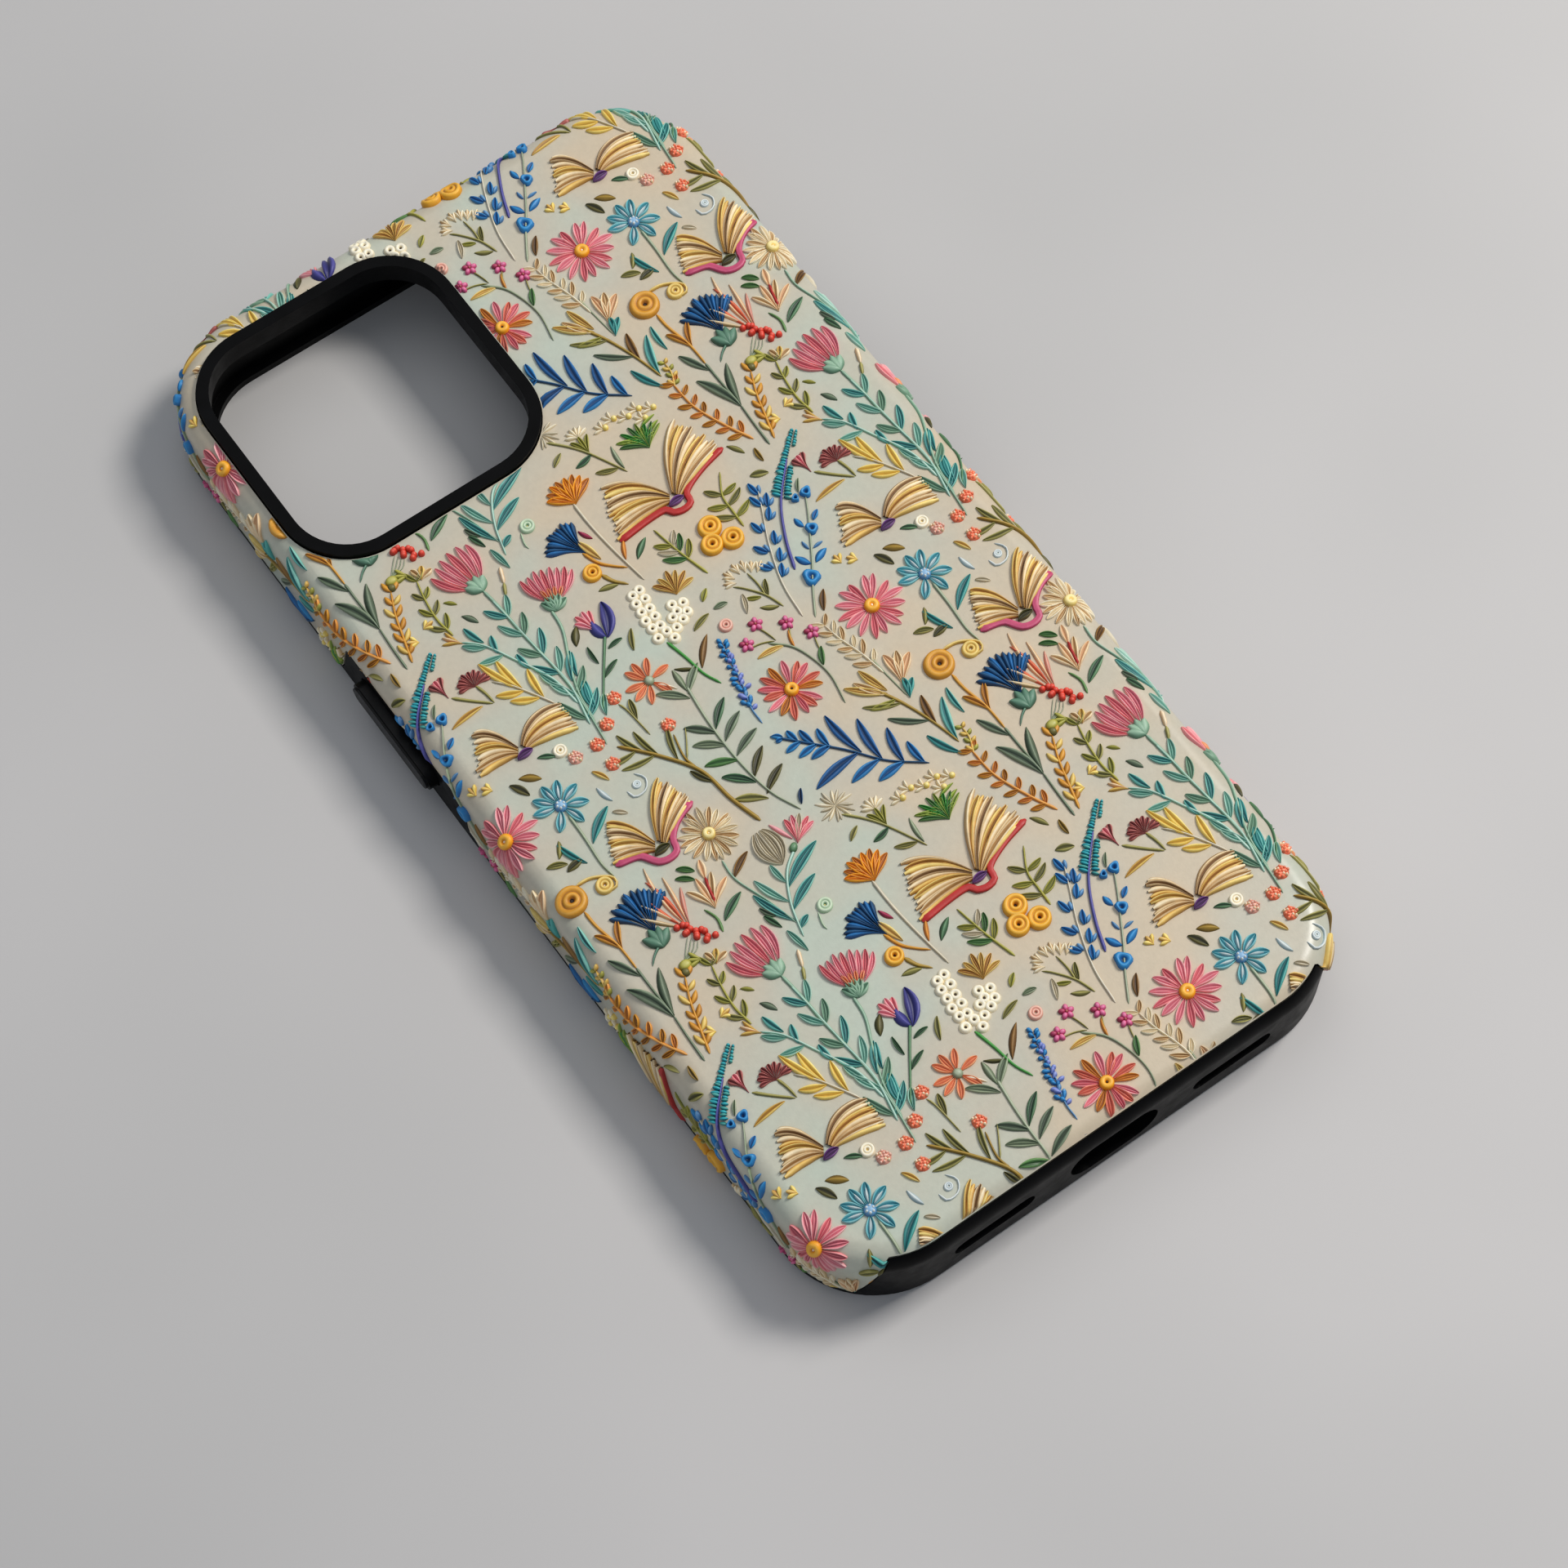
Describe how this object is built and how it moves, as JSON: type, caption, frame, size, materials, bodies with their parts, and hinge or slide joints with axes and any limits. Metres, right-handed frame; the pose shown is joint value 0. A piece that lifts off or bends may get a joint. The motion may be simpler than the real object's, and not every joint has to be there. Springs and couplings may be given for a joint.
{
  "type": "phone case",
  "caption": "Two-layer phone case: hard floral-print shell over a soft black liner with raised camera surround, sliding button covers and a charging-port opening.",
  "frame": {"origin": "middle of the case in plan, on the plane of the front lip that it lies on", "axes": "+X across the case to the volume-button side, +Y along it to the camera end, +Z out of its printed back"},
  "size_m": [0.0796, 0.1524, 0.0123],
  "materials": {
    "printed_shell": "satin hard plastic with a raised multicolour floral print",
    "soft_liner": "satin black soft plastic",
    "soft_covers": "satin black soft plastic"
  },
  "bodies": {
    "liner": {"inner_liner": "soft_liner"},
    "shell": {"outer_shell": "printed_shell"},
    "side_button": {"side_button_cover": "soft_covers"},
    "volume_up": {"volume_up_cover": "soft_covers"},
    "volume_down": {"volume_down_cover": "soft_covers"}
  },
  "joints": [
    {"name": "shell_lift", "type": "slide", "parent": "liner", "child": "shell", "axis": [0, 0, 1], "range_m": [0, 0.02]},
    {"name": "side_button_press", "type": "slide", "parent": "liner", "child": "side_button", "axis": [1, 0, 0], "range_m": [0, 0.0004], "stiffness_N_per_m": 2000, "springref_m": -0.0002},
    {"name": "volume_up_press", "type": "slide", "parent": "liner", "child": "volume_up", "axis": [-1, 0, 0], "range_m": [0, 0.0004], "stiffness_N_per_m": 2000, "springref_m": -0.0002},
    {"name": "volume_down_press", "type": "slide", "parent": "liner", "child": "volume_down", "axis": [-1, 0, 0], "range_m": [0, 0.0004], "stiffness_N_per_m": 2000, "springref_m": -0.0002}
  ]
}
